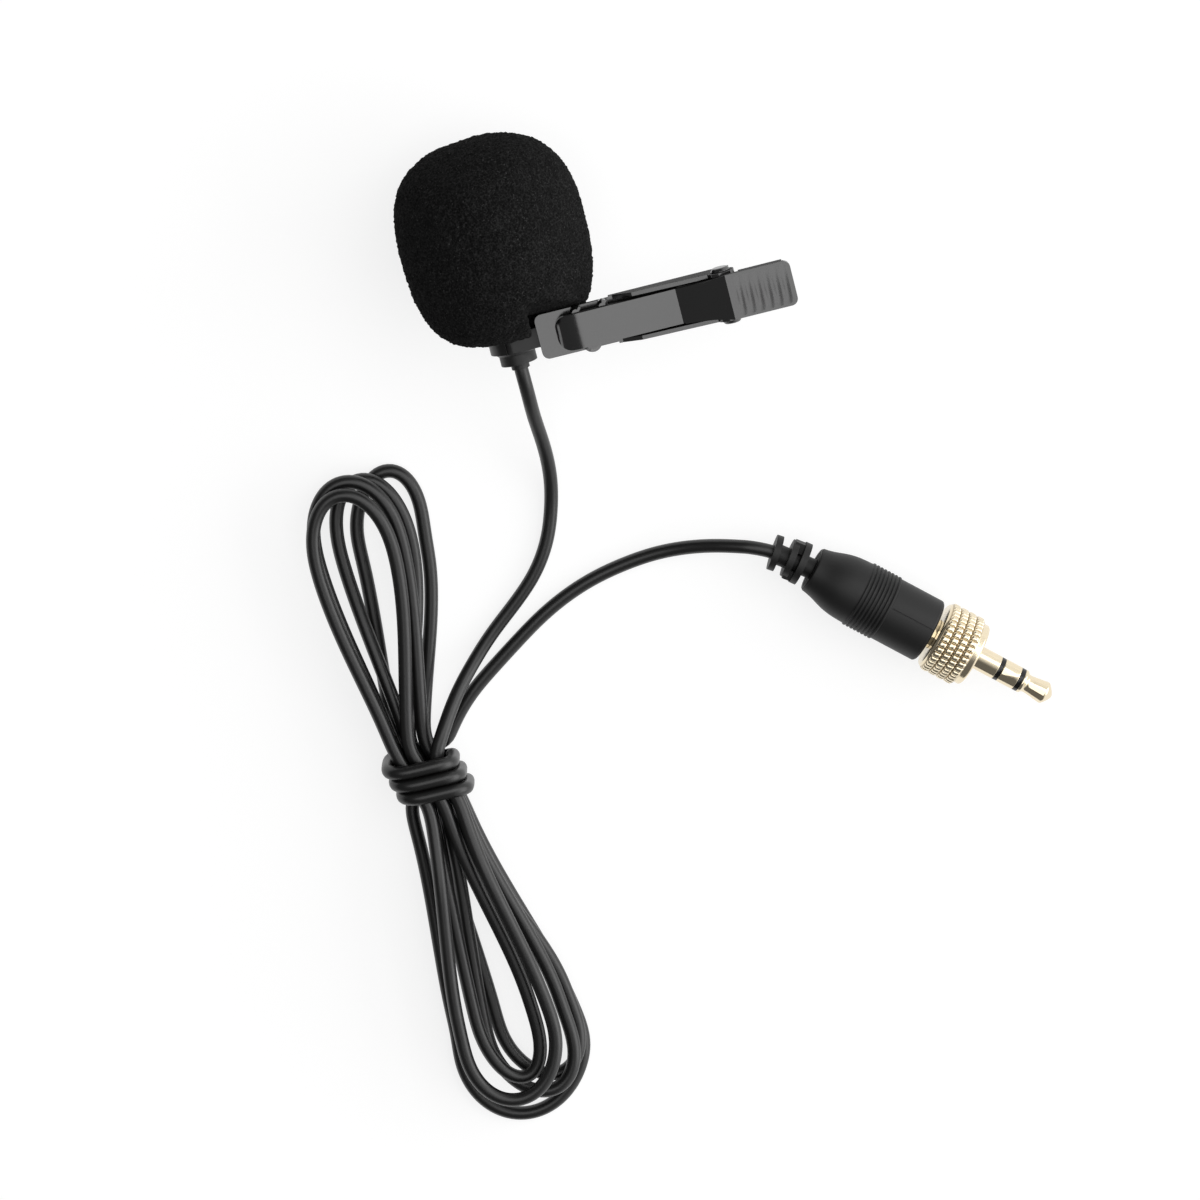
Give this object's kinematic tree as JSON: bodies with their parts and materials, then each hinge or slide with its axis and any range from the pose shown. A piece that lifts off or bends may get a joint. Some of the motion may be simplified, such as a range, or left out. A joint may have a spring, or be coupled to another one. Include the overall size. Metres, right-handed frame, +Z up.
{
  "type": "lavalier microphone",
  "caption": "Wired clip-on lavalier microphone with foam windscreen, sprung swivel clip, thin cable tied in a hank and a 3.5 mm plug with a turning lock ring.",
  "frame": {"origin": "on the surface that the microphone lies on, below the middle of the windscreen and clip together", "axes": "+X along the clip towards its thumb grip, +Y along the microphone towards the closed end of the windscreen, +Z up"},
  "size_m": [0.0986, 0.1439, 0.0268],
  "materials": {
    "foam": "open-cell foam, matt",
    "black_metal": "satin black",
    "grille_metal": "satin",
    "cloth": "fine weave",
    "can_metal": "satin",
    "black_rubber": "matt",
    "board": "satin",
    "wire_cover": "satin",
    "clip_paint": "gloss black enamel",
    "spring_steel": "bright wire",
    "cable_cover": "satin",
    "plug_plastic": "satin, moulded",
    "core_plastic": "moulded",
    "contact_gold": "pale gold plating, polished",
    "insulator": "gloss"
  },
  "bodies": {
    "microphone": {"mic_housing": "black_metal", "grille_cap": "grille_metal", "dust_cloth": "cloth", "capsule_can": "can_metal", "capsule_gasket": "black_rubber", "capsule_board": "board", "core_wires": "wire_cover", "cable_boot": "black_rubber", "cable_mic_lead": "cable_cover", "cable_hank": "cable_cover", "cable_wrap": "cable_cover", "cable_plug_lead": "cable_cover", "plug_body": "plug_plastic", "plug_core": "core_plastic", "plug_wires": "wire_cover", "jack_sleeve": "contact_gold", "jack_ring": "contact_gold", "jack_tip": "contact_gold", "insulator_rear": "insulator", "insulator_front": "insulator", "lock_retainer": "contact_gold"},
    "clip": {"holder_ring": "black_metal", "ring_rivet": "black_metal", "clip_base": "clip_paint", "pivot_pin": "clip_paint", "torsion_spring": "spring_steel"},
    "lever": {"clip_lever": "clip_paint"},
    "windscreen": {"windscreen": "foam"},
    "lock_ring": {"lock_ring": "contact_gold"}
  },
  "joints": [
    {"name": "clip_swivel", "type": "hinge", "parent": "microphone", "child": "clip", "pos_m": [-0.0134, -0.0125, 0.0134], "axis": [0, -1, 0], "continuous": true},
    {"name": "lever_pivot", "type": "hinge", "parent": "clip", "child": "lever", "pos_m": [0.0172, -0.0126, 0.02053], "axis": [0, 1, 0], "range_deg": [0, 20], "stiffness_Nm_per_rad": 0.08, "springref_deg": -20.05, "deforming": ["torsion_spring"]},
    {"name": "windscreen_pull", "type": "slide", "parent": "clip", "child": "windscreen", "axis": [0, 1, 0], "range_m": [0, 0.026]},
    {"name": "lock_ring_spin", "type": "hinge", "parent": "microphone", "child": "lock_ring", "pos_m": [0.03633, -0.07231, 0.0053], "axis": [0.7349, -0.6782, 0], "continuous": true}
  ]
}
